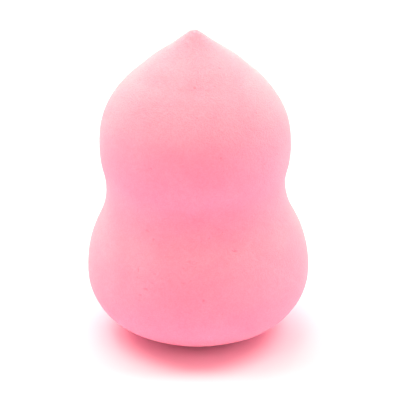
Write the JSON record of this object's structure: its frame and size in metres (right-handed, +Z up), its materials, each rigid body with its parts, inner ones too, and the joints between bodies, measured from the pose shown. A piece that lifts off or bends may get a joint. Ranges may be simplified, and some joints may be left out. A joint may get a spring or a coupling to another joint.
{
  "type": "makeup sponge",
  "caption": "Gourd-shaped makeup sponge: a solid body of soft pink foam with a wide lower bulb, a shallow waist, a smaller upper bulb and a pointed tip.",
  "frame": {"origin": "centre of the flat base that the sponge rests on", "axes": "+Z up along the sponge's axis, from the base to the tip; the sponge is a body of revolution, so +X and +Y are free and the picture is taken from -Y"},
  "size_m": [0.0418, 0.0418, 0.06],
  "materials": {
    "foam": "matte fine-celled foam with a velvety skin"
  },
  "bodies": {
    "root": {"foam_body": "foam"}
  },
  "joints": []
}
